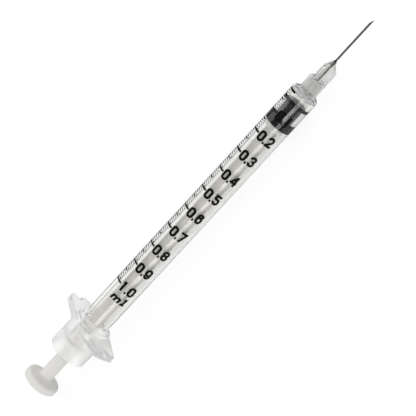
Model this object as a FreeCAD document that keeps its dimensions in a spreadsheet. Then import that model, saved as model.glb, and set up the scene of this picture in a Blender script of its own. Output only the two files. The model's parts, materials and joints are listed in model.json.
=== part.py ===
"""A 1 ml tuberculin syringe with its needle, lying on a table.

Every piece is drawn about its own local X axis, which points to the needle, and then
takes one shared placement: the barrel's flange rests on the straight edge of a wing and
its front shoulder on the table. Millimetres and degrees throughout.
"""
import FreeCAD
import Part
import Sketcher
import math
import os
import re

SIZES = {
    "bore": (4.72, "inside diameter of the barrel: 1 ml takes scale_length of it"),
    "barrel_wall": (0.89, "wall of the barrel tube"),
    "scale_start": (12.8, "front of the flange to the 1 ml line"),
    "scale_length": (57.15, "the 1 ml line to the zero line"),
    "zero_margin": (0.1, "zero line to the end of the bore"),
    "end_wall": (1.25, "closed front wall of the barrel"),
    "shoulder_round": (0.95, "rounding of the barrel's front shoulder"),
    "nozzle_diameter": (3.1, "slip nozzle where it leaves the barrel"),
    "nozzle_length": (3.3, "length of the slip nozzle"),
    "nozzle_taper": (0.06, "loss of the nozzle's diameter along its length"),
    "nozzle_lumen": (1.0, "passage through the nozzle"),
    "bore_end_bevel": (0.25, "bevel at the front end of the bore and in the cup's corner"),
    "flange_thickness": (1.6, "thickness of the finger flange"),
    "flange_waist": (9.4, "distance between the flange's opposite long edges at the barrel"),
    "flange_span": (19.9, "finger flange from tip to tip"),
    "wing_taper": (12.5, "slope of each long edge towards the wing tip"),
    "waist_round": (2.5, "rounding where the long edges of two wings meet"),
    "tip_round": (1.1, "rounding of the wing's corners"),
    "notch_width": (1.1, "width of the notch in each wing tip"),
    "notch_depth": (1.5, "depth of the notch in each wing tip"),
    "notch_sink": (0.8, "front of the flange to the notch's floor, with the rear part of the tip whole"),
    "notch_lip": (0.4, "rounding of the notch's mouth"),
    "flange_bevel": (0.35, "bevel round the front face of the flange"),
    "boss_diameter": (8.9, "raised disc on the front of the flange"),
    "boss_height": (0.5, "height of that disc"),
    "root_round": (0.85, "fillet between that disc and the barrel"),
    "collar_diameter": (9.2, "cup behind the flange, outside"),
    "collar_wall": (0.6, "wall of that cup"),
    "collar_length": (7.5, "length of that cup behind the flange"),
    "cup_depth": (3.9, "depth of that cup"),
    "collar_bevel": (0.4, "bevel of the cup's rear edge"),
    "mouth_bevel": (0.35, "lead-in from the cup to the bore"),
    "plunger_gap": (1.7, "piston's crown to the end of the bore, as it lies"),
    "seal_clearance": (0.02, "piston's seals to the bore, on the radius"),
    "piston_length": (6.75, "length of the rubber piston without its crown"),
    "rear_seal_width": (2.35, "width of the rear sealing ring"),
    "front_seal_width": (0.9, "width of the front sealing ring"),
    "piston_waist": (4.36, "diameter between the two sealing rings"),
    "seal_bevel": (0.1, "bevel of the sealing rings' edges"),
    "crown_height": (0.12, "low cone on the front of the piston"),
    "rod_diameter": (3.2, "plunger rod"),
    "rod_length": (79.05, "front of the thumb disc to the front of the pusher"),
    "thumb_diameter": (8.5, "thumb disc"),
    "thumb_thickness": (1.9, "thickness of the thumb disc"),
    "thumb_rear_round": (0.5, "rounding of the disc's rear edge"),
    "thumb_front_round": (0.7, "rounding of the disc's front edge"),
    "flare_length": (0.5, "low cone from the disc to the rod"),
    "rod_root_bevel": (0.4, "bevel between that cone and the rod"),
    "pusher_diameter": (4.2, "collar of the rod behind the piston"),
    "pusher_thickness": (1.0, "thickness of that collar"),
    "neck_diameter": (1.6, "neck of the rod inside the piston"),
    "neck_length": (0.9, "length of that neck"),
    "barb_diameter": (2.4, "barbed head inside the piston"),
    "barb_length": (2.2, "length of the barbed head"),
    "barb_tip_diameter": (1.2, "front end of the barbed head"),
    "joint_gap": (0.03, "rod's head to the piston's cavity"),
    "hub_diameter": (4.2, "needle hub round the nozzle"),
    "hub_seat_gap": (0.05, "barrel's face to the hub"),
    "taper_gap": (0.01, "nozzle to the hub's socket, on the radius"),
    "socket_length": (3.61, "hub's rear face to the step"),
    "socket_spare": (0.15, "nozzle's end to the floor of the socket"),
    "step_bevel": (0.3, "bevel of the hub's step"),
    "core_diameter": (2.8, "hub in front of the step"),
    "core_length": (3.04, "the step to the hub's cone"),
    "cone_length": (1.94, "length of the hub's cone"),
    "hub_tip_diameter": (0.9, "front end of the hub's cone"),
    "rib_count": (3, "ribs on the hub"),
    "rib_span": (4.1, "diameter over the ribs"),
    "rib_thickness": (0.7, "thickness of a rib"),
    "rib_setback": (0.35, "front end of a rib to the hub's front end"),
    "hub_roll": (137.0, "turn of the hub on its nozzle"),
    "cannula_diameter": (0.46, "steel tube, outside"),
    "cannula_lumen": (0.26, "steel tube, inside"),
    "cannula_reach": (11.86, "length of the tube in front of the hub"),
    "cannula_inset": (0.25, "floor of the socket to the rear end of the tube"),
    "cannula_fit": (0.01, "tube to its hole in the hub, on the radius"),
    "bevel_angle": (21.0, "ground face of the point to the tube's axis"),
    "lancet_angle": (31.0, "two side faces of the point to the axis"),
    "lancet_turn": (34.0, "turn of each side face round the axis"),
    "bevel_roll": (-28.0, "turn of the ground face round the axis"),
    "glue_diameter": (0.66, "adhesive round the tube"),
    "glue_depth": (1.2, "depth of the adhesive in the hub"),
    "glue_rise": (0.4, "adhesive standing out of the hub"),
}

PLACES = {
    "barrel_diameter": "bore + 2 * barrel_wall",
    "bore_end": "scale_start + scale_length + zero_margin",
    "barrel_face": "bore_end + end_wall",
    "nozzle_end": "barrel_face + nozzle_length",
    "nozzle_tip_diameter": "nozzle_diameter - nozzle_taper * nozzle_length",
    "collar_rear": "-(flange_thickness + collar_length)",
    "cup_floor": "collar_rear + cup_depth",
    "cup_diameter": "collar_diameter - 2 * collar_wall",
    "wing_reach": "flange_span / 2",
    "waist_corner": "flange_waist / 2 / cos(wing_taper * 1deg)",
    "tip_half_width": "waist_corner - wing_reach * tan(wing_taper * 1deg)",
    "notch_centre": "wing_reach - notch_depth + notch_width / 2",
    "seal_diameter": "bore - 2 * seal_clearance",
    "piston_rear": "bore_end - plunger_gap - piston_length",
    "cavity_mouth": "neck_diameter + 2 * joint_gap",
    "cavity_diameter": "barb_diameter + 2 * joint_gap",
    "cavity_tip": "barb_tip_diameter + 2 * joint_gap",
    "socket_rear_diameter": "nozzle_diameter - nozzle_taper * hub_seat_gap + 2 * taper_gap",
    "socket_depth": "nozzle_length - hub_seat_gap + socket_spare",
    "socket_floor_diameter": "socket_rear_diameter - nozzle_taper * socket_depth",
    "cone_start": "socket_length + core_length",
    "hub_length": "cone_start + cone_length",
    "tube_start": "socket_depth + cannula_inset",
    "cannula_length": "hub_length - tube_start + cannula_reach",
    "cannula_hole": "cannula_diameter + 2 * cannula_fit",
}

TOUCH = 0.001
START = 1
END = 2
CENTRE = 3
ORIGIN = -1
X_LINE = -1
Y_LINE = -2

doc = FreeCAD.newDocument("Syringe")
sheet = doc.addObject("Spreadsheet::Sheet", "Sizes")


def fill_sheet():
    """Write each size into a row of the sheet: name, value and what it is."""
    for row, (name, (value, meaning)) in enumerate(SIZES.items(), 1):
        sheet.set(f"A{row}", name)
        sheet.set(f"B{row}", str(value))
        sheet.setAlias(f"B{row}", name)
        sheet.set(f"C{row}", meaning)
    doc.recompute()


def bound(formula):
    """A formula with its places spelled out and its sizes read from the sheet."""
    def spell(word):
        name = word.group()
        if name in PLACES:
            return f"({bound(PLACES[name])})"
        return f"Sizes.{name}" if name in SIZES else name
    return re.sub(r"[a-z_]{3,}", spell, formula)


def number(formula):
    """What a formula comes to."""
    return float(sheet.evalExpression(bound(formula)))


def new_body(label):
    """An empty body named after the piece."""
    body = doc.addObject("PartDesign::Body", label)
    body.Label = label
    return body


def datum(body, role):
    """A plane or an axis of the body's own origin."""
    return next(item for item in body.Origin.OriginFeatures if item.Role == role)


def new_sketch(body, name, plane, turn=0.0):
    """A sketch on one of the body's planes, turned about the X axis."""
    sketch = body.newObject("Sketcher::SketchObject", name)
    sketch.AttachmentSupport = (datum(body, plane), [""])
    sketch.MapMode = "FlatFace"
    about_x = FreeCAD.Rotation(FreeCAD.Vector(1, 0, 0), turn)
    sketch.AttachmentOffset = FreeCAD.Placement(FreeCAD.Vector(), about_x)
    return sketch


def hold_one(sketch, line, end, kind, axis, formula):
    """Tie one coordinate of a sketch's point to a formula."""
    if formula == "0":
        sketch.addConstraint(Sketcher.Constraint("PointOnObject", line, end, axis))
        return
    value = number(formula)
    row = sketch.addConstraint(Sketcher.Constraint(kind, ORIGIN, START, line, end, value))
    sketch.setExpression(f"Constraints[{row}]", bound(formula))


def hold(sketch, line, end, across, up):
    """Tie a point of a sketch to two formulas."""
    hold_one(sketch, line, end, "DistanceX", Y_LINE, across)
    hold_one(sketch, line, end, "DistanceY", X_LINE, up)


def outline(body, name, plane, corners, turn=0.0):
    """A closed outline of straight lines whose corners are pairs of formulas."""
    sketch = new_sketch(body, name, plane, turn)
    points = [FreeCAD.Vector(number(across), number(up), 0) for across, up in corners]
    for start, end in zip(points, points[1:] + points[:1]):
        sketch.addGeometry(Part.LineSegment(start, end), False)
    for line in range(len(points)):
        following = (line + 1) % len(points)
        sketch.addConstraint(Sketcher.Constraint("Coincident", line, END, following, START))
        hold(sketch, line, START, *corners[line])
    return sketch


def turned(body, name, corners, cut=False):
    """A profile turned about the X axis, added or cut away."""
    sketch = outline(body, name + "_profile", "XY_Plane", corners)
    feature = body.newObject("PartDesign::Groove" if cut else "PartDesign::Revolution", name)
    feature.Profile = sketch
    feature.ReferenceAxis = (sketch, ["H_Axis"])
    feature.Angle = 360
    sketch.Visibility = False
    doc.recompute()
    return feature


def extruded(body, name, sketch, length, cut=False, midplane=False, reverse=False):
    """A sketch pushed out, or cut away, by the length of a formula."""
    feature = body.newObject("PartDesign::Pocket" if cut else "PartDesign::Pad", name)
    feature.Profile = sketch
    feature.Midplane = midplane
    feature.Reversed = reverse
    feature.setExpression("Length", bound(length))
    sketch.Visibility = False
    doc.recompute()
    return feature


def repeated(body, name, feature, count):
    """A feature repeated evenly round the X axis."""
    pattern = body.newObject("PartDesign::PolarPattern", name)
    pattern.Originals = [feature]
    pattern.Axis = (datum(body, "X_Axis"), [""])
    pattern.Angle = 360
    pattern.setExpression("Occurrences", bound(count))
    body.Tip = pattern
    doc.recompute()
    return pattern


def softened(body, name, kind, edges, size):
    """A fillet or a chamfer on the chosen edges of the body's last feature."""
    feature = body.newObject(f"PartDesign::{kind}", name)
    feature.Base = edges
    feature.setExpression("Radius" if kind == "Fillet" else "Size", bound(size))
    doc.recompute()
    return feature


def named_edges(feature, wanted):
    """The feature with the names of its edges that pass a test."""
    names = [f"Edge{index}" for index, edge in enumerate(feature.Shape.Edges, 1) if wanted(edge)]
    if not names:
        raise RuntimeError(f"no edge found on {feature.Label}")
    return feature, names


def rings(feature, *places):
    """Round edges given by their place along the axis and their diameter."""
    targets = [(number(along), number(across) / 2) for along, across in places]

    def wanted(edge):
        if not isinstance(edge.Curve, Part.Circle):
            return False
        along = edge.Curve.Center.x
        radius = edge.Curve.Radius
        return any(abs(along - x) < TOUCH and abs(radius - size) < TOUCH for x, size in targets)
    return named_edges(feature, wanted)


def corners_at(feature, across, up):
    """Straight edges along the axis that stand at a distance across and up, on either side."""
    target = (number(across), number(up))

    def wanted(edge):
        box = edge.BoundBox
        if box.XLength < TOUCH or box.YLength > TOUCH or box.ZLength > TOUCH:
            return False
        return abs(abs(box.YMin) - target[0]) < TOUCH and abs(abs(box.ZMin) - target[1]) < TOUCH
    return named_edges(feature, wanted)


def front_outline(feature):
    """The edges round the flange's front face."""
    def wanted(edge):
        box = edge.BoundBox
        return box.XLength < TOUCH and abs(box.XMax) < TOUCH
    return named_edges(feature, wanted)


def notch_sketch(body):
    """The outline of a notch with a half-round end, open at the wing tip."""
    sketch = new_sketch(body, "notch_outline", "YZ_Plane")
    side, centre, mouth = "notch_width / 2", "notch_centre", "wing_reach + notch_depth"
    half = number(side)
    middle = FreeCAD.Vector(number(centre), 0, 0)
    far = number(mouth)
    upper = FreeCAD.Vector(middle.x, half, 0)
    lower = FreeCAD.Vector(middle.x, -half, 0)
    sketch.addGeometry(Part.LineSegment(FreeCAD.Vector(far, half, 0), upper), False)
    circle = Part.Circle(middle, FreeCAD.Vector(0, 0, 1), half)
    sketch.addGeometry(Part.ArcOfCircle(circle, math.pi / 2, 3 * math.pi / 2), False)
    sketch.addGeometry(Part.LineSegment(lower, FreeCAD.Vector(far, -half, 0)), False)
    sketch.addGeometry(Part.LineSegment(FreeCAD.Vector(far, -half, 0), FreeCAD.Vector(far, half, 0)), False)
    for line, following in ((0, 1), (1, 2), (2, 3), (3, 0)):
        sketch.addConstraint(Sketcher.Constraint("Coincident", line, END, following, START))
    hold(sketch, 0, START, mouth, side)
    hold(sketch, 0, END, centre, side)
    hold(sketch, 2, START, centre, f"-{side}")
    hold(sketch, 2, END, mouth, f"-{side}")
    hold_one(sketch, 1, CENTRE, "DistanceX", Y_LINE, centre)
    return sketch


def make_flange(body):
    """Finger flange: two tapering wings with rounded corners, notched tips and a front bevel."""
    wings = outline(body, "wing_outline", "YZ_Plane", [
        ("0", "waist_corner"),
        ("wing_reach", "tip_half_width"),
        ("wing_reach", "-tip_half_width"),
        ("0", "-waist_corner"),
        ("-wing_reach", "-tip_half_width"),
        ("-wing_reach", "tip_half_width"),
    ])
    extruded(body, "flange", wings, "flange_thickness", reverse=True)
    notch = extruded(body, "notch", notch_sketch(body), "notch_sink", cut=True)
    plate = repeated(body, "notches", notch, "2")
    tips = corners_at(plate, "wing_reach", "tip_half_width")
    plate = softened(body, "wing_corners", "Fillet", tips, "tip_round")
    middle = corners_at(plate, "0", "waist_corner")
    plate = softened(body, "waist", "Fillet", middle, "waist_round")
    lips = corners_at(plate, "wing_reach", "notch_width / 2")
    plate = softened(body, "notch_lips", "Fillet", lips, "notch_lip")
    softened(body, "front_bevel", "Chamfer", front_outline(plate), "flange_bevel")


def make_barrel():
    """Clear tube with its nozzle, finger flange and rear cup, moulded in one."""
    body = new_body("barrel")
    make_flange(body)
    turned(body, "outside", [
        ("collar_rear", "0"),
        ("collar_rear", "collar_diameter / 2"),
        ("-flange_thickness", "collar_diameter / 2"),
        ("-flange_thickness", "boss_diameter / 2"),
        ("boss_height", "boss_diameter / 2"),
        ("boss_height", "barrel_diameter / 2"),
        ("barrel_face", "barrel_diameter / 2"),
        ("barrel_face", "nozzle_diameter / 2"),
        ("nozzle_end", "nozzle_tip_diameter / 2"),
        ("nozzle_end", "0"),
    ])
    hollow = turned(body, "hollow", [
        ("collar_rear - cup_depth", "0"),
        ("collar_rear - cup_depth", "cup_diameter / 2"),
        ("cup_floor", "cup_diameter / 2"),
        ("cup_floor", "bore / 2 + mouth_bevel"),
        ("cup_floor + mouth_bevel", "bore / 2"),
        ("bore_end", "bore / 2"),
        ("bore_end", "nozzle_lumen / 2"),
        ("nozzle_end + nozzle_length", "nozzle_lumen / 2"),
        ("nozzle_end + nozzle_length", "0"),
    ], cut=True)
    root_edge = rings(hollow, ("boss_height", "barrel_diameter"))
    root = softened(body, "root", "Fillet", root_edge, "root_round")
    shoulder = rings(root, ("barrel_face", "barrel_diameter"))
    front = softened(body, "shoulder", "Fillet", shoulder, "shoulder_round")
    rear_edge = rings(front, ("collar_rear", "collar_diameter"))
    rear = softened(body, "rear_edge", "Chamfer", rear_edge, "collar_bevel")
    inner_ends = rings(rear, ("bore_end", "bore"), ("cup_floor", "cup_diameter"))
    softened(body, "inner_corners", "Chamfer", inner_ends, "bore_end_bevel")
    return body


def make_piston():
    """Black rubber stopper with two sealing rings and a cavity for the rod's head."""
    body = new_body("piston")
    rubber = turned(body, "rubber", [
        ("0", "0"),
        ("0", "seal_diameter / 2"),
        ("rear_seal_width", "seal_diameter / 2"),
        ("rear_seal_width", "piston_waist / 2"),
        ("piston_length - front_seal_width", "piston_waist / 2"),
        ("piston_length - front_seal_width", "seal_diameter / 2"),
        ("piston_length", "seal_diameter / 2"),
        ("piston_length + crown_height", "0"),
    ])
    seals = rings(
        rubber,
        ("0", "seal_diameter"),
        ("rear_seal_width", "seal_diameter"),
        ("piston_length - front_seal_width", "seal_diameter"),
        ("piston_length", "seal_diameter"),
    )
    softened(body, "seals", "Chamfer", seals, "seal_bevel")
    turned(body, "cavity", [
        ("-neck_length", "0"),
        ("-neck_length", "cavity_mouth / 2"),
        ("neck_length - 2 * joint_gap", "cavity_mouth / 2"),
        ("neck_length - 2 * joint_gap", "cavity_diameter / 2"),
        ("neck_length + barb_length", "cavity_tip / 2"),
        ("neck_length + barb_length", "0"),
    ], cut=True)
    return body


def make_plunger_rod():
    """Round rod with a thumb disc behind and a pusher, neck and barbed head in front."""
    body = new_body("plunger_rod")
    solid = turned(body, "moulding", [
        ("-rod_length - thumb_thickness", "0"),
        ("-rod_length - thumb_thickness", "thumb_diameter / 2"),
        ("-rod_length", "thumb_diameter / 2"),
        ("-rod_length + flare_length", "rod_diameter / 2"),
        ("-pusher_thickness", "rod_diameter / 2"),
        ("-pusher_thickness", "pusher_diameter / 2"),
        ("0", "pusher_diameter / 2"),
        ("0", "neck_diameter / 2"),
        ("neck_length", "neck_diameter / 2"),
        ("neck_length", "barb_diameter / 2"),
        ("neck_length + barb_length", "barb_tip_diameter / 2"),
        ("neck_length + barb_length", "0"),
    ])
    rear_edge = rings(solid, ("-rod_length - thumb_thickness", "thumb_diameter"))
    rear = softened(body, "thumb_rear_edge", "Fillet", rear_edge, "thumb_rear_round")
    front_edge = rings(rear, ("-rod_length", "thumb_diameter"))
    front = softened(body, "thumb_front_edge", "Fillet", front_edge, "thumb_front_round")
    root = rings(front, ("-rod_length + flare_length", "rod_diameter"))
    softened(body, "rod_root", "Chamfer", root, "rod_root_bevel")
    return body


def make_needle_hub():
    """Translucent hub: tapered socket for the nozzle, ribbed front and a cone with a glue well."""
    body = new_body("needle_hub")
    shell = turned(body, "shell", [
        ("0", "0"),
        ("0", "hub_diameter / 2"),
        ("socket_length", "hub_diameter / 2"),
        ("socket_length", "core_diameter / 2"),
        ("cone_start", "core_diameter / 2"),
        ("hub_length", "hub_tip_diameter / 2"),
        ("hub_length", "0"),
    ])
    softened(body, "step", "Chamfer", rings(shell, ("socket_length", "hub_diameter")), "step_bevel")
    fin = outline(body, "rib_outline", "XZ_Plane", [
        ("socket_length - step_bevel", "0"),
        ("socket_length - step_bevel", "rib_span / 2"),
        ("cone_start", "rib_span / 2"),
        ("hub_length - rib_setback", "hub_tip_diameter / 2"),
        ("hub_length - rib_setback", "0"),
    ])
    rib = extruded(body, "rib", fin, "rib_thickness", midplane=True)
    repeated(body, "ribs", rib, "rib_count")
    turned(body, "socket", [
        ("-hub_seat_gap", "0"),
        ("-hub_seat_gap", "socket_rear_diameter / 2 + nozzle_taper * hub_seat_gap / 2"),
        ("socket_depth", "socket_floor_diameter / 2"),
        ("tube_start", "cannula_hole / 2"),
        ("hub_length - glue_depth", "cannula_hole / 2"),
        ("hub_length - glue_depth", "glue_diameter / 2"),
        ("hub_length + glue_rise", "glue_diameter / 2"),
        ("hub_length + glue_rise", "0"),
    ], cut=True)
    return body


def ground_face(body, name, angle, turn):
    """One flat ground on the point of the tube, through the point itself."""
    tip = f"(cannula_diameter / 2 * cos({turn} * 1deg))"
    rise = f"tan({angle} * 1deg)"
    sketch = outline(body, name + "_outline", "XZ_Plane", [
        ("cannula_length + cannula_diameter", f"-{tip} - cannula_diameter * {rise}"),
        ("cannula_length + cannula_diameter", "2 * cannula_diameter"),
        (f"cannula_length - (2 * cannula_diameter + {tip}) / {rise}", "2 * cannula_diameter"),
    ], turn=number(turn))
    return extruded(body, name, sketch, "4 * cannula_diameter", cut=True, midplane=True)


def make_cannula():
    """Steel tube with a bevelled point and two side faces that sharpen it."""
    body = new_body("cannula")
    turned(body, "tube", [
        ("0", "cannula_lumen / 2"),
        ("0", "cannula_diameter / 2"),
        ("cannula_length + cannula_diameter / 2", "cannula_diameter / 2"),
        ("cannula_length + cannula_diameter / 2", "cannula_lumen / 2"),
    ])
    ground_face(body, "bevel", "bevel_angle", "0")
    ground_face(body, "left_lancet", "lancet_angle", "lancet_turn")
    ground_face(body, "right_lancet", "lancet_angle", "-lancet_turn")
    return body


def make_needle_adhesive():
    """Ring of cured adhesive that holds the tube in the hub, with a small meniscus."""
    body = new_body("needle_adhesive")
    turned(body, "ring", [
        ("-glue_depth", "cannula_diameter / 2"),
        ("-glue_depth", "glue_diameter / 2"),
        ("0", "glue_diameter / 2"),
        ("glue_rise", "cannula_diameter / 2"),
    ])
    return body


def lying():
    """The turn that lays a wing's long edge and the barrel's shoulder on the table."""
    drop = number("(flange_waist - barrel_diameter) / 2")
    reach = number("barrel_face - shoulder_round + flange_bevel")
    nose_down = FreeCAD.Rotation(FreeCAD.Vector(0, 1, 0), math.degrees(math.atan2(drop, reach)))
    roll = FreeCAD.Rotation(FreeCAD.Vector(1, 0, 0), -number("wing_taper"))
    return FreeCAD.Placement(FreeCAD.Vector(), nose_down * roll)


def seat(pieces):
    """Put each piece at its place on the axis, lay them all down and centre them on the table."""
    rest = lying()
    for body, along, roll in pieces:
        turn = FreeCAD.Rotation(FreeCAD.Vector(1, 0, 0), number(roll))
        body.Placement = rest * FreeCAD.Placement(FreeCAD.Vector(number(along), 0, 0), turn)
    doc.recompute()
    box = Part.makeCompound([body.Shape for body, _, _ in pieces]).optimalBoundingBox(False)
    shift = FreeCAD.Vector(-box.Center.x, -box.Center.y, -box.ZMin)
    for body, _, _ in pieces:
        body.Placement = FreeCAD.Placement(shift, FreeCAD.Rotation()) * body.Placement
    doc.recompute()
    return shift


def check(bodies):
    """Stop if a feature failed or a piece is not one sound solid."""
    for item in doc.Objects:
        if "Invalid" in item.State or "Error" in item.State:
            raise RuntimeError(f"{item.Label} failed: {item.State}")
    for body in bodies:
        shape = body.Shape
        if shape.isNull() or not shape.isValid() or len(shape.Solids) != 1:
            raise RuntimeError(f"{body.Label} is not one sound solid")


def main():
    """Build the six pieces, lay them down, check them and write their files."""
    fill_sheet()
    pieces = [
        (make_barrel(), "0", "0"),
        (make_piston(), "piston_rear", "0"),
        (make_plunger_rod(), "piston_rear - joint_gap", "0"),
        (make_needle_hub(), "barrel_face + hub_seat_gap", "hub_roll"),
        (make_cannula(), "barrel_face + hub_seat_gap + tube_start", "bevel_roll"),
        (make_needle_adhesive(), "barrel_face + hub_seat_gap + hub_length", "0"),
    ]
    shift = seat(pieces)
    bodies = [body for body, _, _ in pieces]
    check(bodies)
    os.makedirs("parts", exist_ok=True)
    for body in bodies:
        body.Shape.exportStep(f"parts/{body.Label}.step")
        print(f"{body.Label}: {body.Shape.Volume:.3f} mm3")
    print(f"axis point under the flange's front face: {shift}")


main()
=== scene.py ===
"""The looks of a 1 ml tuberculin syringe, built round its fixed frame."""
import json
import math

import bmesh
import bpy
from bpy.props import FloatProperty, FloatVectorProperty, IntProperty, PointerProperty
from mathutils import Matrix, Vector


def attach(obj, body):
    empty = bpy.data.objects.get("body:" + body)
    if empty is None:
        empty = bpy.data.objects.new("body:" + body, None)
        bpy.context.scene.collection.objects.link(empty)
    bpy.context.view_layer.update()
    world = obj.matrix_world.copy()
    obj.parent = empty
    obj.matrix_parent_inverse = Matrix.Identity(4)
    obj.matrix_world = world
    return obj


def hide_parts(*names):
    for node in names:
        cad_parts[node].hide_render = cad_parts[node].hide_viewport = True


bl_info = {
    "name": "Tuberculin syringe",
    "version": (1, 0, 0),
    "blender": (4, 5, 0),
    "location": "3D View > Sidebar > Syringe",
    "description": "Builds a clear 1 ml syringe with its scale, plunger and needle",
    "category": "Add Mesh",
}

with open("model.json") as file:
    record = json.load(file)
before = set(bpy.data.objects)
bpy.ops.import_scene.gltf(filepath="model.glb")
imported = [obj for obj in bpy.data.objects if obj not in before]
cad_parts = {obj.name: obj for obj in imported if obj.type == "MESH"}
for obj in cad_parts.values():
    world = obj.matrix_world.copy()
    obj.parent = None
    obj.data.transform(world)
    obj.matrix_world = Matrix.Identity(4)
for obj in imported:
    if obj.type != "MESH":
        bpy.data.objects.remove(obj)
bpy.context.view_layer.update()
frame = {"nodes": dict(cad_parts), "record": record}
MM = 0.001
MICRON = 0.000001
TINY = 1e-9
SHARP_ANGLE = math.radians(35)
WRAP_STEP = math.radians(4)


def mount(name):
    """One of the record's mounts."""
    return next(item for item in frame["record"]["mounts"] if item["name"] == name)


def local_frame():
    """The syringe's own frame: X to the needle, Y along a wing, origin at the flange's front."""
    along = Vector(mount("barrel_outside")["axis"]).normalized()
    on_axis = Vector(mount("barrel_outside")["pos_m"])
    on_flange = Vector(mount("flange_front")["pos_m"])
    origin = on_axis + along * (on_flange - on_axis).dot(along)
    wing = (on_flange - origin).normalized()
    matrix = Matrix((along, wing, along.cross(wing))).transposed().to_4x4()
    matrix.translation = origin
    return matrix


LOCAL = local_frame()
AXIS_LINE = LOCAL.inverted()


def along_axis(node, highest):
    """Where a CAD node starts or ends along the axis, in the syringe's own frame."""
    ends = [(AXIS_LINE @ vertex.co).x for vertex in frame["nodes"][node].data.vertices]
    return max(ends) if highest else min(ends)


BARREL_RADIUS = mount("barrel_outside")["dims"]["r_mm"] * MM
COLLAR_REAR = along_axis("barrel", False)
NOZZLE_END = along_axis("barrel", True)
PISTON_REAR = along_axis("piston", False)
PISTON_FRONT = along_axis("piston", True)
ROD_REAR = along_axis("plunger_rod", False)
ROD_TIP = along_axis("plunger_rod", True)


def length(value, text):
    """A size that a user may change, in metres."""
    return FloatProperty(name=text.capitalize(), description=text, default=value, unit="LENGTH", precision=5)


def share(value, text):
    """A number between nothing and one."""
    return FloatProperty(name=text.capitalize(), description=text, default=value, min=0.0, max=1.0)


def amount(value, text):
    """A strength, a power or a focal length that a user may change."""
    return FloatProperty(name=text.capitalize(), description=text, default=value, min=0.0)


def angle(degrees, text):
    """An angle that a user may change."""
    return FloatProperty(
        name=text.capitalize(), description=text, default=math.radians(degrees), subtype="ANGLE",
    )


def tint(red, green, blue, text):
    """A colour that a user may change, written in linear values."""
    return FloatVectorProperty(
        name=text.capitalize(), description=text, default=(red, green, blue), size=3, min=0.0, max=1.0,
        subtype="COLOR",
    )


class BarrelSettings(bpy.types.PropertyGroup):
    """Sizes and colours of the clear barrel, its flange and its cup."""
    bore: length(2.36 * MM, "radius of the bore")
    cup_floor: length(-5.2 * MM, "place of the cup's floor")
    cup_radius: length(4.0 * MM, "radius inside the cup")
    collar_radius: length(4.6 * MM, "radius outside the cup")
    collar_round: length(0.5 * MM, "rounding of the cup's rear edge")
    flange_thickness: length(1.6 * MM, "thickness of the flange")
    flange_waist: length(4.7 * MM, "axis to the flange's long edges")
    flange_reach: length(9.95 * MM, "axis to the tip of a wing")
    wing_taper: angle(12.5, "slope of the long edges")
    waist_round: length(2.5 * MM, "rounding between two long edges")
    tip_round: length(1.1 * MM, "rounding of a wing's corners")
    notch_half: length(0.55 * MM, "half the notch's width")
    notch_depth: length(1.5 * MM, "depth of the notch")
    notch_sink: length(0.8 * MM, "front of the flange to the notch's floor")
    notch_lip: length(0.4 * MM, "rounding of the notch's mouth")
    flange_bevel: length(0.35 * MM, "bevel round the flange's front")
    boss_radius: length(4.45 * MM, "radius of the raised disc")
    boss_height: length(0.5 * MM, "height of the raised disc")
    boss_round: length(0.12 * MM, "rounding of the raised disc")
    root_round: length(0.85 * MM, "fillet at the barrel's root")
    bore_end: length(70.05 * MM, "place of the bore's front end")
    face: length(71.3 * MM, "place of the barrel's front face")
    lead_in: length(0.35 * MM, "bevel at the bore's rear end")
    floor_round: length(0.3 * MM, "rounding at the ends of the cup and the bore")
    shoulder_round: length(0.95 * MM, "rounding of the shoulder")
    nozzle_base: length(1.55 * MM, "radius of the nozzle at its base")
    nozzle_tip: length(1.451 * MM, "radius of the nozzle at its tip")
    lumen: length(0.5 * MM, "radius of the nozzle's passage")
    clear_colour: tint(0.92, 0.92, 0.91, "clear plastic")
    # darker than the clear plastic: painted shade of the shadowed floor seen through the bore
    bore_shade_tint: tint(0.84, 0.83, 0.81, "the bore's surface")
    milky_colour: tint(0.985, 0.985, 0.98, "milky plastic")


class ScaleSettings(bpy.types.PropertyGroup):
    """Sizes and colour of the printed scale."""
    full_line: length(12.8 * MM, "place of the 1 ml line")
    zero_line: length(69.95 * MM, "place of the zero line")
    lift: length(0.002 * MM, "gap between ink and barrel")
    film: length(0.012 * MM, "thickness of the ink")
    start: angle(-36.0, "where every line starts round the barrel")
    short_end: angle(-8.5, "where a short line ends")
    middle_end: angle(-6.0, "where a half line ends")
    long_end: angle(16.0, "where a numbered line ends")
    fine: length(0.22 * MM, "thickness of a short line")
    half: length(0.4 * MM, "thickness of a half line")
    bold: length(0.48 * MM, "thickness of a numbered line")
    numeral_start: angle(18.5, "where a numeral starts")
    numeral_height: length(2.6 * MM, "height of a numeral")
    digit_width: length(1.68 * MM, "width of a digit")
    digit_gap: length(0.12 * MM, "gap on each side of the point")
    point: length(0.42 * MM, "width of the point")
    stroke: length(0.585 * MM, "thickness of a digit's strokes")
    bend: length(0.5 * MM, "rounding of a digit's strokes")
    unit_height: length(2.0 * MM, "height of the unit's letter l")
    small_height: length(1.4 * MM, "height of the unit's letter m")
    unit_stroke: length(0.54 * MM, "thickness of the unit's strokes")
    unit_gap: length(4.0 * MM, "the 1 ml line to the foot of the unit's letters")
    unit_slant: share(0.22, "slant of the unit's letters")
    ink: tint(0.003, 0.003, 0.003, "ink")


class PistonSettings(bpy.types.PropertyGroup):
    """Sizes and colour of the rubber piston."""
    squeeze: length(0.015 * MM, "how far the seals press into the bore")
    rear_seal: length(2.35 * MM, "width of the rear seal")
    front_seal: length(0.9 * MM, "width of the front seal")
    crown: length(0.12 * MM, "height of the crown")
    waist: length(2.18 * MM, "radius between the seals")
    edge: length(0.08 * MM, "rounding of the seals")
    rubber: tint(0.003, 0.003, 0.005, "rubber")


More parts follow.
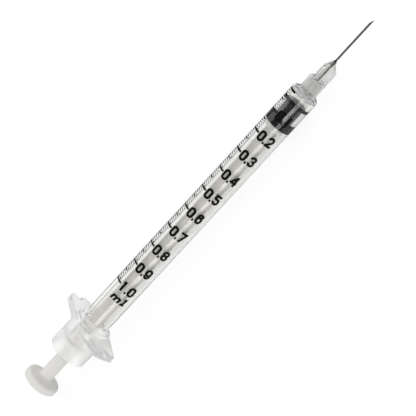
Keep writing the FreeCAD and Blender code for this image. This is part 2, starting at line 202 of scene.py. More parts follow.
class RodSettings(bpy.types.PropertyGroup):
    """Sizes and colour of the plunger rod."""
    radius: length(1.6 * MM, "radius of the rod")
    disc_radius: length(4.25 * MM, "radius of the thumb disc")
    disc_thickness: length(1.9 * MM, "thickness of the thumb disc")
    rear_round: length(0.5 * MM, "rounding of the disc's rear edge")
    front_round: length(0.7 * MM, "rounding of the disc's front edge")
    flare: length(0.5 * MM, "height of the disc's cone")
    root_round: length(0.8 * MM, "fillet between disc and rod")
    pusher_radius: length(2.1 * MM, "radius of the pusher")
    pusher: length(1.0 * MM, "thickness of the pusher")
    pusher_round: length(0.15 * MM, "rounding of the pusher")
    joint_gap: length(0.03 * MM, "gap between pusher and piston")
    neck_radius: length(0.8 * MM, "radius of the neck")
    neck_length: length(0.9 * MM, "length of the neck")
    barb_radius: length(1.2 * MM, "radius of the barb")
    barb_tip: length(0.6 * MM, "radius at the barb's tip")
    plastic: tint(0.77, 0.76, 0.73, "rod plastic")


class NeedleSettings(bpy.types.PropertyGroup):
    """Colours of the hub, the tube and the adhesive."""
    hub_plastic: tint(0.74, 0.74, 0.73, "hub plastic")
    steel: tint(0.12, 0.12, 0.115, "needle steel")
    glue: tint(0.012, 0.012, 0.006, "adhesive")


class StageSettings(bpy.types.PropertyGroup):
    """Camera, floor, lights and how finely the turned pieces are built."""
    lens: amount(136.58, "focal length in millimetres")
    distance: length(338.5 * MM, "camera to the middle of the scale")
    aside: length(3.25 * MM, "middle of the scale to the right of the picture's middle")
    above: length(1.2 * MM, "middle of the scale above the picture's middle")
    roll: angle(47.3, "turn of the camera about its own line of sight")
    nod: angle(16.89, "tilt of the needle's end towards the camera")
    side: angle(47.0, "turn of the camera round the barrel, from the wings' normal")
    floor_half: length(1.5, "half the floor's width")
    floor_white: amount(0.88, "light that the floor gives to the eye")
    floor_shade: share(0.14, "how much of the floor's shadow shows")
    floor_colour: share(0.8, "colour of the floor for the light that it spreads")
    floor_behind: amount(0.32, "light of the floor in clear pieces")
    shade_behind: share(0.8, "how much of the floor's shadow shows in clear pieces")
    floor_mirrored: share(0.8, "colour of the floor in reflections")
    sky_behind: amount(0.36, "sky seen through clear pieces")
    sky_mirrored: amount(0.15, "sky in reflections")
    ambient: amount(0.6, "strength of the sky's light")
    strip: amount(0.68, "power of the light along the barrel")
    strip_low: angle(-18.5, "strip light below the line to the camera")
    strip_away: length(0.5, "strip light to the middle of the scale")
    strip_length: length(0.25, "length of the strip light, along the barrel")
    strip_width: length(0.26, "width of the strip light, across the barrel")
    key: amount(1.5, "power of the overhead light")
    key_high: angle(78.0, "overhead light above the line to the camera")
    key_away: length(0.6, "overhead light to the middle of the scale")
    key_size: length(0.6, "width and height of the overhead light")
    segments: IntProperty(name="Segments", description="segments of a turned piece", default=128)


def settings(kind):
    """The scene's group of sizes for one piece."""
    return getattr(bpy.context.scene, kind)


def link(mesh, name, materials):
    """A mesh in the syringe's own frame, put in its place as an object with its materials."""
    mesh.transform(LOCAL)
    mesh.validate()
    piece = bpy.data.objects.new(name, mesh)
    bpy.context.scene.collection.objects.link(piece)
    for material in materials:
        mesh.materials.append(material)
    mesh.shade_smooth()
    mesh.set_sharp_from_angle(angle=SHARP_ANGLE)
    return piece


def rounded(corners, steps=8, closed=False):
    """Points of an outline whose corners are (across, up, radius), each rounded by an arc."""
    points = []
    last = len(corners) - 1
    for index, (across, up, radius) in enumerate(corners):
        here = Vector((across, up))
        if radius <= 0 or (not closed and index in (0, last)):
            points.append(here)
            continue
        back = (Vector(corners[index - 1][:2]) - here).normalized()
        ahead = (Vector(corners[(index + 1) % len(corners)][:2]) - here).normalized()
        half = back.angle(ahead) / 2
        centre = here + (back + ahead).normalized() * (radius / math.sin(half))
        first = here + back * (radius / math.tan(half)) - centre
        sweep = first.angle_signed(here + ahead * (radius / math.tan(half)) - centre)
        for step in range(steps + 1):
            turn = Matrix.Rotation(-sweep * step / steps, 2)
            points.append(centre + turn @ first)
    return points


def turned(profile, segments):
    """A mesh turned about the X axis from (along, radius) points."""
    mesh = bmesh.new()
    rows = []
    for along, radius in profile:
        if radius < TINY:
            rows.append([mesh.verts.new((along, 0, 0))] * segments)
            continue
        row = []
        for step in range(segments):
            turn = 2 * math.pi * step / segments
            row.append(mesh.verts.new((along, radius * math.cos(turn), radius * math.sin(turn))))
        rows.append(row)
    for lower, upper in zip(rows, rows[1:]):
        for step in range(segments):
            following = (step + 1) % segments
            corners = [lower[step], lower[following], upper[following], upper[step]]
            unique = list(dict.fromkeys(corners))
            if len(unique) > 2:
                mesh.faces.new(unique)
    bmesh.ops.recalc_face_normals(mesh, faces=mesh.faces)
    return mesh


def finished(mesh, name):
    """The bmesh as mesh data."""
    data = bpy.data.meshes.new(name)
    mesh.to_mesh(data)
    mesh.free()
    return data


def combined(name, base, *steps):
    """One mesh from a base and (operation, mesh) steps of exact booleans."""
    whole = bpy.data.objects.new(name, base)
    bpy.context.scene.collection.objects.link(whole)
    tools = []
    for operation, data in steps:
        tool = bpy.data.objects.new(name + "_tool", data)
        bpy.context.scene.collection.objects.link(tool)
        tools.append(tool)
        modifier = whole.modifiers.new(operation, "BOOLEAN")
        modifier.operation = operation
        modifier.solver = "EXACT"
        modifier.object = tool
    graph = bpy.context.evaluated_depsgraph_get()
    result = bpy.data.meshes.new_from_object(whole.evaluated_get(graph))
    for item in [whole] + tools:
        bpy.data.objects.remove(item)
    return result


def new_material(name):
    """A node material with its principled shader."""
    material = bpy.data.materials.new(name)
    material.use_nodes = True
    return material, material.node_tree, material.node_tree.nodes["Principled BSDF"]


def grain_group():
    """Shader group: fine flow marks of moulded or drawn pieces, as a height and a mottle."""
    known = bpy.data.node_groups.get("flow_marks")
    if known:
        return known
    group = bpy.data.node_groups.new("flow_marks", "ShaderNodeTree")
    for socket, default in (("Scale", 900.0), ("Stretch", 0.05), ("Low", 0.0), ("High", 1.0)):
        entry = group.interface.new_socket(socket, in_out="INPUT", socket_type="NodeSocketFloat")
        entry.default_value = default
    group.interface.new_socket("Height", in_out="OUTPUT", socket_type="NodeSocketFloat")
    group.interface.new_socket("Value", in_out="OUTPUT", socket_type="NodeSocketFloat")
    nodes = group.nodes
    links = group.links
    inputs = nodes.new("NodeGroupInput")
    outputs = nodes.new("NodeGroupOutput")
    place = nodes.new("ShaderNodeTexCoord")
    squeeze = nodes.new("ShaderNodeCombineXYZ")
    squeeze.inputs["Y"].default_value = 1.0
    squeeze.inputs["Z"].default_value = 1.0
    stretched = nodes.new("ShaderNodeVectorMath")
    stretched.operation = "MULTIPLY"
    noise = nodes.new("ShaderNodeTexNoise")
    noise.inputs["Detail"].default_value = 3.0
    spread = nodes.new("ShaderNodeMapRange")
    links.new(inputs.outputs["Stretch"], squeeze.inputs["X"])
    links.new(place.outputs["Object"], stretched.inputs[0])
    links.new(squeeze.outputs["Vector"], stretched.inputs[1])
    links.new(stretched.outputs["Vector"], noise.inputs["Vector"])
    links.new(inputs.outputs["Scale"], noise.inputs["Scale"])
    links.new(noise.outputs["Fac"], outputs.inputs["Height"])
    links.new(noise.outputs["Fac"], spread.inputs["Value"])
    links.new(inputs.outputs["Low"], spread.inputs["To Min"])
    links.new(inputs.outputs["High"], spread.inputs["To Max"])
    links.new(spread.outputs["Result"], outputs.inputs["Value"])
    return group


def add_grain(tree, shader, scale, stretch, low, high, depth):
    """Flow marks in the roughness, from low to high, and in the bump, of this depth."""
    marks = tree.nodes.new("ShaderNodeGroup")
    marks.node_tree = grain_group()
    marks.inputs["Scale"].default_value = scale
    marks.inputs["Stretch"].default_value = stretch
    marks.inputs["Low"].default_value = low
    marks.inputs["High"].default_value = high
    bump = tree.nodes.new("ShaderNodeBump")
    bump.inputs["Strength"].default_value = 1.0
    bump.inputs["Distance"].default_value = depth
    tree.links.new(marks.outputs["Value"], shader.inputs["Roughness"])
    tree.links.new(marks.outputs["Height"], bump.inputs["Height"])
    tree.links.new(bump.outputs["Normal"], shader.inputs["Normal"])


def let_light_in(tree, shader, passed):
    """Lets this share of the light through to what lies inside or behind, as clear pieces do."""
    path = tree.nodes.new("ShaderNodeLightPath")
    cover = tree.nodes.new("ShaderNodeMapRange")
    cover.inputs["To Min"].default_value = 1.0
    cover.inputs["To Max"].default_value = 1.0 - passed
    tree.links.new(path.outputs["Is Shadow Ray"], cover.inputs["Value"])
    tree.links.new(cover.outputs["Result"], shader.inputs["Alpha"])


def solid_look(name, colour, specular):
    """A material of one colour with this much shine, still without its grain."""
    material, tree, shader = new_material(name)
    shader.inputs["Base Color"].default_value = (*colour, 1)
    shader.inputs["Specular IOR Level"].default_value = specular
    return material, tree, shader


def glassy_look(name, colour, clearness, bending, passed):
    """A material that is seen through, still without its grain."""
    material, tree, shader = new_material(name)
    shader.inputs["Base Color"].default_value = (*colour, 1)
    shader.inputs["Transmission Weight"].default_value = clearness
    shader.inputs["IOR"].default_value = bending
    let_light_in(tree, shader, passed)
    return material, tree, shader


def clear_plastic(colour):
    """Clear polished plastic of the barrel's tube."""
    material, tree, shader = glassy_look("clear_plastic", colour, clearness=1.0, bending=1.49, passed=0.95)
    add_grain(tree, shader, scale=500.0, stretch=0.04, low=0.015, high=0.03, depth=0.1 * MICRON)
    return material


def bore_plastic(colour):
    """The bore's surface, less polished than the outside, which spreads the light a little; its colour,
    darker than the clear plastic, is painted shade of the shadowed floor seen through the bore.
    """
    material, tree, shader = glassy_look("bore_plastic", colour, clearness=1.0, bending=1.49, passed=0.95)
    add_grain(tree, shader, scale=500.0, stretch=0.04, low=0.04, high=0.07, depth=0.1 * MICRON)
    return material


def milky_plastic(colour):
    """The same plastic, less polished: the flange, the cup and the bore's end wall."""
    material, tree, shader = glassy_look("milky_plastic", colour, clearness=0.85, bending=1.3, passed=0.9)
    add_grain(tree, shader, scale=700.0, stretch=0.6, low=0.3, high=0.38, depth=1.0 * MICRON)
    return material


def hub_plastic(colour):
    """Translucent grey-white plastic of the needle's hub."""
    material, tree, shader = glassy_look("hub_plastic", colour, clearness=0.9, bending=1.22, passed=0.7)
    add_grain(tree, shader, scale=900.0, stretch=0.3, low=0.29, high=0.34, depth=0.2 * MICRON)
    return material


def rod_plastic(colour):
    """Translucent white plastic of the plunger rod."""
    material, tree, shader = solid_look("rod_plastic", colour, specular=0.3)
    shader.inputs["Subsurface Weight"].default_value = 0.25
    shader.inputs["Subsurface Radius"].default_value = (1.2 * MM, 1.2 * MM, 1.1 * MM)
    shader.inputs["Subsurface Scale"].default_value = 1.0
    add_grain(tree, shader, scale=900.0, stretch=0.08, low=0.42, high=0.56, depth=3.0 * MICRON)
    return material


def black_rubber(colour):
    """Smooth lubricated rubber."""
    material, tree, shader = solid_look("black_rubber", colour, specular=0.25)
    add_grain(tree, shader, scale=1500.0, stretch=1.0, low=0.26, high=0.34, depth=1.0 * MICRON)
    return material


def needle_steel(colour):
    """Drawn stainless tube with fine marks."""
    material, tree, shader = solid_look("needle_steel", colour, specular=0.5)
    shader.inputs["Metallic"].default_value = 1.0
    add_grain(tree, shader, scale=2500.0, stretch=1.0, low=0.25, high=0.45, depth=3.0 * MICRON)
    return material


def adhesive(colour):
    """Dark cured adhesive."""
    material, tree, shader = solid_look("adhesive", colour, specular=0.5)
    add_grain(tree, shader, scale=2000.0, stretch=1.0, low=0.18, high=0.3, depth=4.0 * MICRON)
    return material


def printed_ink(colour):
    """Black ink, slightly uneven as a screen print is."""
    material, tree, shader = solid_look("scale_ink", colour, specular=0.12)
    add_grain(tree, shader, scale=3000.0, stretch=1.0, low=0.5, high=0.7, depth=2.0 * MICRON)
    return material


def flange_outline(sizes, notched):
    """The rounded outline of the finger flange, as (across, up) points, with its notches or whole."""
    corner = sizes.flange_waist / math.cos(sizes.wing_taper)
    tip = corner - sizes.flange_reach * math.tan(sizes.wing_taper)
    reach = sizes.flange_reach
    floor = reach - sizes.notch_depth
    half = sizes.notch_half
    # a hair under half, so that the two arcs of the notch share no point
    end_round = half * 0.999
    notch = [
        (reach, half, sizes.notch_lip),
        (floor, half, end_round),
        (floor, -half, end_round),
        (reach, -half, sizes.notch_lip),
    ]
    one_wing = [(0, corner, sizes.waist_round), (reach, tip, sizes.tip_round)]
    one_wing += (notch if notched else []) + [(reach, -tip, sizes.tip_round)]
    other_wing = [(-across, -up, radius) for across, up, radius in one_wing]
    return rounded(one_wing + other_wing, closed=True)


def inset(points, depth):
    """An outline moved inwards by a depth, each point along its own normal."""
    moved = []
    count = len(points)
    for index, here in enumerate(points):
        run = points[(index + 1) % count] - points[index - 1]
        moved.append(here + Vector((run.y, -run.x)).normalized() * depth)
    return moved


def stacked(levels, name):
    """A solid from outlines with equally many points, given as (along, outline) from rear to front."""
    mesh = bmesh.new()
    rows = []
    for along, outline in levels:
        rows.append([mesh.verts.new((along, across, up)) for across, up in outline])
    mesh.faces.new(rows[0])
    mesh.faces.new(rows[-1])
    for lower, upper in zip(rows, rows[1:]):
        for index in range(len(lower)):
            following = (index + 1) % len(lower)
            mesh.faces.new((lower[index], lower[following], upper[following], upper[index]))
    bmesh.ops.recalc_face_normals(mesh, faces=mesh.faces)
    return finished(mesh, name)


def flange_plates(sizes):
    """The finger flange as its whole rear half and its notched, bevelled front half."""
    whole = flange_outline(sizes, False)
    edge = flange_outline(sizes, True)
    overlap = 0.1 * MM
    rear = stacked([(-sizes.flange_thickness, whole), (-sizes.notch_sink, whole)], "flange_rear")
    front = stacked([
        (-sizes.notch_sink - overlap, edge),
        (-sizes.flange_bevel, edge),
        (0.0, inset(edge, sizes.flange_bevel)),
    ], "flange_front")
    return rear, front


def barrel_outside(sizes, segments):
    """The barrel's outer form without its wings."""
    return finished(turned(rounded([
        (COLLAR_REAR, 0, 0),
        (COLLAR_REAR, sizes.collar_radius, sizes.collar_round),
        (-sizes.flange_thickness, sizes.collar_radius, 0),
        (-sizes.flange_thickness, sizes.boss_radius, 0),
        (sizes.boss_height, sizes.boss_radius, sizes.boss_round),
        (sizes.boss_height, BARREL_RADIUS, sizes.root_round),
        (sizes.face, BARREL_RADIUS, sizes.shoulder_round),
        (sizes.face, sizes.nozzle_base, 0),
        (NOZZLE_END, sizes.nozzle_tip, 0),
        (NOZZLE_END, 0, 0),
    ], steps=12), segments), "barrel_outside")


def barrel_hollow(sizes, segments):
    """The cup, the bore and the nozzle's passage, as one solid to cut away."""
    spare = 1.0 * MM
    return finished(turned(rounded([
        (COLLAR_REAR - spare, 0, 0),
        (COLLAR_REAR - spare, sizes.cup_radius, 0),
        (sizes.cup_floor, sizes.cup_radius, sizes.floor_round),
        (sizes.cup_floor, sizes.bore + sizes.lead_in, 0),
        (sizes.cup_floor + sizes.lead_in, sizes.bore, 0),
        (sizes.bore_end, sizes.bore, sizes.floor_round),
        (sizes.bore_end, sizes.lumen, 0),
        (NOZZLE_END + spare, sizes.lumen, 0),
        (NOZZLE_END + spare, 0, 0),
    ]), segments), "barrel_hollow")


class SYRINGE_OT_barrel(bpy.types.Operator):
    """Build the clear barrel with its flange, cup and nozzle"""
    bl_idname = "syringe.barrel"
    bl_label = "Barrel"

    def execute(self, context):
        sizes = settings("syringe_barrel")
        segments = settings("syringe_stage").segments
        rear, front = flange_plates(sizes)
        mesh = combined(
            "barrel_shell",
            barrel_outside(sizes, segments),
            ("UNION", rear),
            ("UNION", front),
            ("DIFFERENCE", barrel_hollow(sizes, segments)),
        )
        edge = sizes.boss_height + sizes.root_round
        inner = (sizes.bore + BARREL_RADIUS) / 2
        milky_slot, bore_slot = 1, 2
        # the bore's end wall looks along the axis by more than this, the bore's round wall by less
        end_facing = 0.5
        for face in mesh.polygons:
            tube = edge < face.center.x < sizes.face
            inside = tube and face.center.yz.length < inner
            if inside and abs(face.normal.x) < end_facing:
                face.material_index = bore_slot
            elif inside or face.center.x < edge:
                face.material_index = milky_slot
        looks = [
            clear_plastic(sizes.clear_colour),
            milky_plastic(sizes.milky_colour),
            # the bore's darker colour is painted shade of the floor seen through it
            bore_plastic(sizes.bore_shade_tint),
        ]
        shell = link(mesh, "barrel_shell", looks)
        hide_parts("barrel")
        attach(shell, "barrel")
        return {"FINISHED"}


def ribbon(corners, thickness, closed=False):
    """A flat stroke of one thickness along (across, up, rounding) corners, as a thin solid."""
    points = rounded(corners, steps=6, closed=closed)
    last = len(points) - 1
    mesh = bmesh.new()
    rows = []
    for index, here in enumerate(points):
        before = points[index - 1] if closed or index else here
        after = points[(index + 1) % len(points)] if closed or index < last else here
        run = (after - before).normalized()
        aside = Vector((-run.y, run.x)) * thickness / 2
        rows.append([
            mesh.verts.new((here.x + side * aside.x, here.y + side * aside.y, height))
            for side, height in ((-1, 0.0), (1, 0.0), (1, 1.0), (-1, 1.0))
        ])
    pairs = list(zip(rows, rows[1:]))
    if closed:
        pairs.append((rows[-1], rows[0]))
    else:
        mesh.faces.new(rows[0])
        mesh.faces.new(rows[-1])
    for first, second in pairs:
        for index in range(4):
            following = (index + 1) % 4
            mesh.faces.new((first[index], first[following], second[following], second[index]))
    bmesh.ops.recalc_face_normals(mesh, faces=mesh.faces)
    return finished(mesh, "stroke")


def digit_strokes(sizes):
    """The strokes of each digit: corners of their middle lines, and closed or not."""
    left = sizes.stroke / 2
    right = sizes.digit_width - left
    middle = sizes.digit_width / 2
    inward = middle * 0.8
    low = left
    high = sizes.numeral_height - left
    half = sizes.numeral_height * 0.52
    bend = sizes.bend
    hook = bend * 1.1
    top = sizes.numeral_height
    bowl = [(left, low, bend), (right, low, bend), (right, half + left, bend), (left, half + left, bend)]
    stem = [(left, half * 0.8, 0), (left, high, bend), (right, high, bend), (right, high - hook, 0)]
    turned_bowl = [(sizes.digit_width - across, top - up, r) for across, up, r in bowl]
    turned_stem = [(sizes.digit_width - across, top - up, r) for across, up, r in stem]
    tail = [(right, low, bend), (left, low, bend), (left, low + hook, 0)]
    return {
        "0": [([(left, low, bend), (right, low, bend), (right, high, bend), (left, high, bend)], True)],
        "1": [
            ([(middle, 0, 0), (middle, top, 0)], False),
            ([(middle - 0.8 * bend, high - 0.7 * bend, 0), (middle, high, 0)], False),
        ],
        "2": [
            ([(left, high - hook, 0), (left, high, bend), (right, high, bend),
              (right, half + 0.2 * bend, bend), (left, low, 0)], False),
            ([(0, low, 0), (sizes.digit_width, low, 0)], False),
        ],
        "3": [
            ([(left, high - hook, 0), (left, high, bend), (right, high, bend),
              (right, half, bend), (inward, half, 0)], False),
            ([(inward, half, 0), (right, half, bend)] + tail, False),
        ],
        "4": [
            ([(right - 0.3 * bend, 0, 0), (right - 0.3 * bend, top, 0)], False),
            ([(right - 0.5 * bend, high, 0), (left * 0.8, low + hook, 0)], False),
            ([(0, low + hook, 0), (sizes.digit_width, low + hook, 0)], False),
        ],
        "5": [
            ([(right + left * 0.6, high, 0), (left, high, 0)], False),
            ([(left, top, 0), (left, half, 0)], False),
            ([(left, half + 0.5 * left, 0), (right, half + 0.5 * left, bend)] + tail, False),
        ],
        "6": [(bowl, True), (stem, False)],
        "7": [
            ([(0, high, 0), (sizes.digit_width, high, 0)], False),
            ([(right, high, 0), (middle * 0.7, 0, 0)], False),
        ],
        "8": [
            ([(left, low, bend), (right, low, bend), (right, half, bend), (left, half, bend)], True),
            ([(left, half, bend), (right, half, bend), (right, high, bend), (left, high, bend)], True),
        ],
        "9": [(turned_bowl, True), (turned_stem, False)],
    }


def unit_strokes(sizes):
    """The strokes of the letters ml, before their slant."""
    thick = sizes.unit_stroke
    pitch = thick * 1.75
    arch = sizes.small_height - thick / 2
    spring = arch * 0.7
    bend = thick / 2
    strokes = [([(thick / 2, 0, 0), (thick / 2, sizes.small_height, 0)], False)]
    for index in range(2):
        near = thick / 2 + index * pitch
        far = near + pitch
        strokes.append(([(near, spring, 0), (near, arch, bend), (far, arch, bend), (far, 0, 0)], False))
    stem = thick / 2 + 3.2 * pitch
    foot = thick / 2
    head = sizes.unit_height - thick / 2
    strokes.append(([(stem, 0, 0), (stem, sizes.unit_height, 0)], False))
    strokes.append(([(stem - thick, foot, 0), (stem + thick, foot, 0)], False))
    strokes.append(([(stem - thick, head, 0), (stem + thick / 2, head, 0)], False))
    return strokes


def glyph(strokes, thickness):
    """One flat character joined from its strokes, as a thin solid."""
    pieces = [ribbon(corners, thickness, closed) for corners, closed in strokes]
    return combined("glyph", pieces[0], *(("UNION", piece) for piece in pieces[1:]))


def lay_out(mesh, character, foot, start, slant=0.0):
    """A copy of a flat character laid like the lines: its height along X, its run round in Y."""
    first = len(mesh.verts)
    mesh.from_mesh(character)
    mesh.verts.ensure_lookup_table()
    for vertex in mesh.verts[first:]:
        across, up, height = vertex.co
        vertex.co = (foot + up, start + (across + up * slant) / BARREL_RADIUS, height)


def cut_strips(mesh):
    """Cuts across flat print, so that it bends smoothly round the barrel."""
    turns = [vertex.co.y for vertex in mesh.verts]
    low = min(turns)
    for step in range(1, math.ceil((max(turns) - low) / WRAP_STEP)):
        everything = mesh.verts[:] + mesh.edges[:] + mesh.faces[:]
        place = (0, low + step * WRAP_STEP, 0)
        bmesh.ops.bisect_plane(mesh, geom=everything, plane_co=place, plane_no=(0, 1, 0), dist=TINY)


def wrapped(mesh, sizes):
    """Flat print wrapped round the barrel as a thin film of ink."""
    cut_strips(mesh)
    for vertex in mesh.verts:
        along, turn, height = vertex.co
        radius = BARREL_RADIUS + sizes.lift + height * sizes.film
        vertex.co = (along, -radius * math.sin(turn), radius * math.cos(turn))
    bmesh.ops.recalc_face_normals(mesh, faces=mesh.faces)
    return mesh


def scale_lines(sizes):
    """All hundred and one lines of the scale, still flat."""
    mesh = bmesh.new()
    divisions = 100
    pitch = (sizes.zero_line - sizes.full_line) / divisions
    for index in range(divisions + 1):
        along = sizes.zero_line - index * pitch
        if index % 10 == 0:
            thickness, end = sizes.bold, sizes.long_end
        elif index % 5 == 0:
            thickness, end = sizes.half, sizes.middle_end
        else:
            thickness, end = sizes.fine, sizes.short_end
        run = (end - sizes.start) * BARREL_RADIUS
        line = ribbon([(0, 0, 0), (run, 0, 0)], thickness)
        lay_out(mesh, line, along, sizes.start)
        bpy.data.meshes.remove(line)
    return mesh


def scale_numerals(sizes):
    """The ten numerals and the unit, still flat."""
    mesh = bmesh.new()
    characters = {name: glyph(strokes, sizes.stroke) for name, strokes in digit_strokes(sizes).items()}
    characters["."] = ribbon([(sizes.point / 2, 0, 0), (sizes.point / 2, sizes.stroke, 0)], sizes.point)
    tenth = (sizes.zero_line - sizes.full_line) / 10
    for count in range(1, 11):
        foot = sizes.zero_line - count * tenth - sizes.numeral_height / 2
        turn = sizes.numeral_start
        for character in f"{count / 10:.1f}":
            lay_out(mesh, characters[character], foot, turn)
            width = sizes.point if character == "." else sizes.digit_width
            turn += (width + sizes.digit_gap) / BARREL_RADIUS
    unit = glyph(unit_strokes(sizes), sizes.unit_stroke)
    lay_out(mesh, unit, sizes.full_line - sizes.unit_gap, sizes.numeral_start, sizes.unit_slant)
    return mesh


class SYRINGE_OT_scale(bpy.types.Operator):
    """Print the scale's lines, numerals and unit on the barrel"""
    bl_idname = "syringe.scale"
    bl_label = "Scale"

    def execute(self, context):
        sizes = settings("syringe_scale")
        ink = printed_ink(sizes.ink)
        for name, mesh in (("scale_lines", scale_lines(sizes)), ("scale_numerals", scale_numerals(sizes))):
            piece = link(finished(wrapped(mesh, sizes), name), name, [ink])
            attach(piece, "barrel")
        return {"FINISHED"}


class SYRINGE_OT_piston(bpy.types.Operator):
    """Build the rubber piston"""
    bl_idname = "syringe.piston"
    bl_label = "Piston"

    def execute(self, context):
        sizes = settings("syringe_piston")
        seal = settings("syringe_barrel").bore + sizes.squeeze
        front = PISTON_FRONT - sizes.crown
        profile = rounded([
            (PISTON_REAR, 0, 0),
            (PISTON_REAR, seal, sizes.edge),
            (PISTON_REAR + sizes.rear_seal, seal, sizes.edge),
            (PISTON_REAR + sizes.rear_seal, sizes.waist, sizes.edge),
            (front - sizes.front_seal, sizes.waist, sizes.edge),
            (front - sizes.front_seal, seal, sizes.edge),
            (front, seal, sizes.edge),
            (PISTON_FRONT, 0, 0),
        ])
        mesh = finished(turned(profile, settings("syringe_stage").segments), "rubber_piston")
        piece = link(mesh, "rubber_piston", [black_rubber(sizes.rubber)])
        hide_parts("piston")
        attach(piece, "piston")
        return {"FINISHED"}


class SYRINGE_OT_rod(bpy.types.Operator):
    """Build the plunger rod with its thumb disc"""
    bl_idname = "syringe.rod"
    bl_label = "Plunger rod"

    def execute(self, context):
        sizes = settings("syringe_rod")
        disc_front = ROD_REAR + sizes.disc_thickness
        pusher_front = PISTON_REAR - sizes.joint_gap
        pusher_rear = pusher_front - sizes.pusher
        barb_rear = pusher_front + sizes.neck_length
        profile = rounded([
            (ROD_REAR, 0, 0),
            (ROD_REAR, sizes.disc_radius, sizes.rear_round),
            (disc_front, sizes.disc_radius, sizes.front_round),
            (disc_front + sizes.flare, sizes.radius, sizes.root_round),
            (pusher_rear, sizes.radius, 0),
            (pusher_rear, sizes.pusher_radius, sizes.pusher_round),
            (pusher_front, sizes.pusher_radius, sizes.pusher_round),
            (pusher_front, sizes.neck_radius, 0),
            (barb_rear, sizes.neck_radius, 0),
            (barb_rear, sizes.barb_radius, 0),
            (ROD_TIP, sizes.barb_tip, 0),
            (ROD_TIP, 0, 0),
        ])
        mesh = finished(turned(profile, settings("syringe_stage").segments), "moulded_rod")
        piece = link(mesh, "moulded_rod", [rod_plastic(sizes.plastic)])
        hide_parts("plunger_rod")
        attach(piece, "rod")
        return {"FINISHED"}


class SYRINGE_OT_needle(bpy.types.Operator):
    """Finish the hub, the steel tube and the adhesive"""
    bl_idname = "syringe.needle"
    bl_label = "Needle"

    def execute(self, context):
        sizes = settings("syringe_needle")
        looks = {
            "needle_hub": hub_plastic(sizes.hub_plastic),
            "cannula": needle_steel(sizes.steel),
            "needle_adhesive": adhesive(sizes.glue),
        }
        for node, material in looks.items():
            piece = frame["nodes"][node]
            piece.data.materials.clear()
            piece.data.materials.append(material)
        return {"FINISHED"}


def camera_frame(stage):
    """Right, up and back of the camera before its roll, in the row frame."""
    axes = LOCAL.to_3x3()
    turn = stage.side
    facing = axes @ Vector((0, -math.sin(turn), math.cos(turn)))
    above = axes @ Vector((0, math.cos(turn), math.sin(turn)))
    along = axes @ Vector((1, 0, 0))
    right = along * math.cos(stage.nod) - facing * math.sin(stage.nod)
    back = along * math.sin(stage.nod) + facing * math.cos(stage.nod)
    return right, above, back


def scale_middle():
    """The point of the axis under the middle of the scale, in the row frame."""
    sizes = settings("syringe_scale")
    return LOCAL @ Vector(((sizes.full_line + sizes.zero_line) / 2, 0, 0))


def add_camera(stage):
    """The camera at the photograph's viewing angle."""
    right, above, back = camera_frame(stage)
    camera = bpy.data.cameras.new("camera")
    camera.lens = stage.lens
    camera.clip_start = 10 * MM
    item = bpy.data.objects.new("camera", camera)
    bpy.context.scene.collection.objects.link(item)
    cosine = math.cos(stage.roll)
    sine = math.sin(stage.roll)
    axes = Matrix((right * cosine - above * sine, right * sine + above * cosine, back)).transposed()
    item.matrix_world = axes.to_4x4()
    item.location = scale_middle() - right * stage.aside - above * stage.above + back * stage.distance
    bpy.context.scene.camera = item


def ray_values(tree, plain, behind, mirrored, seen):
    """A number of its own for light rays, and for what is seen through, mirrored or directly."""
    path = tree.nodes.new("ShaderNodeLightPath")
    value = None
    for ray, shown in (("Is Glossy Ray", mirrored), ("Is Transmission Ray", behind), ("Is Camera Ray", seen)):
        node = tree.nodes.new("ShaderNodeMapRange")
        node.inputs["To Min"].default_value = plain
        node.inputs["To Max"].default_value = shown
        tree.links.new(path.outputs[ray], node.inputs["Value"])
        if value:
            tree.links.new(value, node.inputs["To Min"])
        value = node.outputs["Result"]
    return value


def add_world(stage):
    """A white sky to look at that lights the object softly."""
    world = bpy.data.worlds.new("sky")
    world.use_nodes = True
    tree = world.node_tree
    background = tree.nodes["Background"]
    background.inputs["Color"].default_value = (1, 1, 1, 1)
    strength = ray_values(tree, stage.ambient, stage.sky_behind, stage.sky_mirrored, 1.0)
    tree.links.new(strength, background.inputs["Strength"])
    bpy.context.scene.world = world


def add_floor(stage):
    """A pale floor that shows white and keeps a faint shadow."""
    mesh = bmesh.new()
    bmesh.ops.create_grid(mesh, x_segments=1, y_segments=1, size=stage.floor_half)
    data = finished(mesh, "floor")
    floor = bpy.data.objects.new("floor", data)
    bpy.context.scene.collection.objects.link(floor)
    material, tree, shader = new_material("floor")
    shader.inputs["Roughness"].default_value = 1.0
    shader.inputs["Specular IOR Level"].default_value = 0.0
    shader.inputs["Emission Color"].default_value = (1, 1, 1, 1)
    for socket, plain, behind, mirrored, seen in (
        ("Emission Strength", 0.0, stage.floor_behind, 0.0, stage.floor_white),
        ("Base Color", stage.floor_colour, stage.shade_behind, stage.floor_mirrored, stage.floor_shade),
    ):
        values = ray_values(tree, plain, behind, mirrored, seen)
        tree.links.new(values, shader.inputs[socket])
    data.materials.append(material)


def add_light(name, direction, distance, sides, power, along):
    """A soft rectangular light that looks at the middle of the scale."""
    lamp = bpy.data.lights.new(name, "AREA")
    lamp.shape = "RECTANGLE"
    lamp.size, lamp.size_y = sides
    lamp.energy = power
    item = bpy.data.objects.new(name, lamp)
    bpy.context.scene.collection.objects.link(item)
    back = direction.normalized()
    side = (along - back * along.dot(back)).normalized()
    item.matrix_world = Matrix((side, back.cross(side), back)).transposed().to_4x4()
    item.location = scale_middle() + back * distance


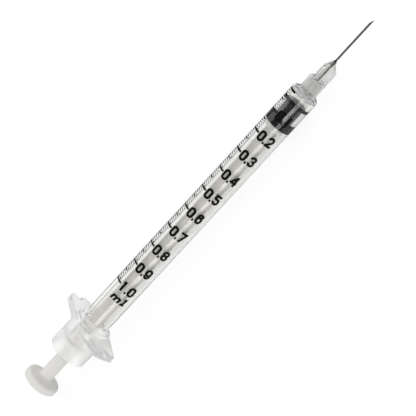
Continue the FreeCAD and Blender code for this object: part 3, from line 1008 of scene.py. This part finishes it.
class SYRINGE_OT_stage(bpy.types.Operator):
    """Set up the floor, the sky, the lights and the camera"""
    bl_idname = "syringe.stage"
    bl_label = "Stage"

    def execute(self, context):
        stage = settings("syringe_stage")
        context.scene.view_settings.view_transform = "Standard"
        add_camera(stage)
        add_world(stage)
        add_floor(stage)
        right, above, back = camera_frame(stage)
        mirrored = back * math.cos(2 * stage.nod) - right * math.sin(2 * stage.nod)
        strip = mirrored * math.cos(stage.strip_low) + above * math.sin(stage.strip_low)
        strip_sides = (stage.strip_length, stage.strip_width)
        add_light("strip_light", strip, stage.strip_away, strip_sides, stage.strip, right)
        key = back * math.cos(stage.key_high) + above * math.sin(stage.key_high)
        add_light("overhead_light", key, stage.key_away, (stage.key_size, stage.key_size), stage.key, right)
        return {"FINISHED"}


class SYRINGE_PT_panel(bpy.types.Panel):
    """Lists the steps that build the syringe"""
    bl_label = "Syringe"
    bl_idname = "SYRINGE_PT_panel"
    bl_space_type = "VIEW_3D"
    bl_region_type = "UI"
    bl_category = "Syringe"

    def draw(self, context):
        for operator in STEPS:
            self.layout.operator(operator.bl_idname)


GROUPS = {
    "syringe_barrel": BarrelSettings,
    "syringe_scale": ScaleSettings,
    "syringe_piston": PistonSettings,
    "syringe_rod": RodSettings,
    "syringe_needle": NeedleSettings,
    "syringe_stage": StageSettings,
}
STEPS = (
    SYRINGE_OT_stage,
    SYRINGE_OT_barrel,
    SYRINGE_OT_scale,
    SYRINGE_OT_piston,
    SYRINGE_OT_rod,
    SYRINGE_OT_needle,
)


def register():
    """Make the groups, the steps and the panel known to Blender."""
    for name, group in GROUPS.items():
        bpy.utils.register_class(group)
        setattr(bpy.types.Scene, name, PointerProperty(type=group))
    for item in STEPS + (SYRINGE_PT_panel,):
        bpy.utils.register_class(item)


def unregister():
    """Take them away again."""
    for item in reversed(STEPS + (SYRINGE_PT_panel,)):
        bpy.utils.unregister_class(item)
    for name, group in reversed(GROUPS.items()):
        delattr(bpy.types.Scene, name)
        bpy.utils.unregister_class(group)


def main():
    """Build everything."""
    register()
    bpy.ops.syringe.stage()
    bpy.ops.syringe.barrel()
    bpy.ops.syringe.scale()
    bpy.ops.syringe.piston()
    bpy.ops.syringe.rod()
    bpy.ops.syringe.needle()


if __name__ == "__main__":
    main()
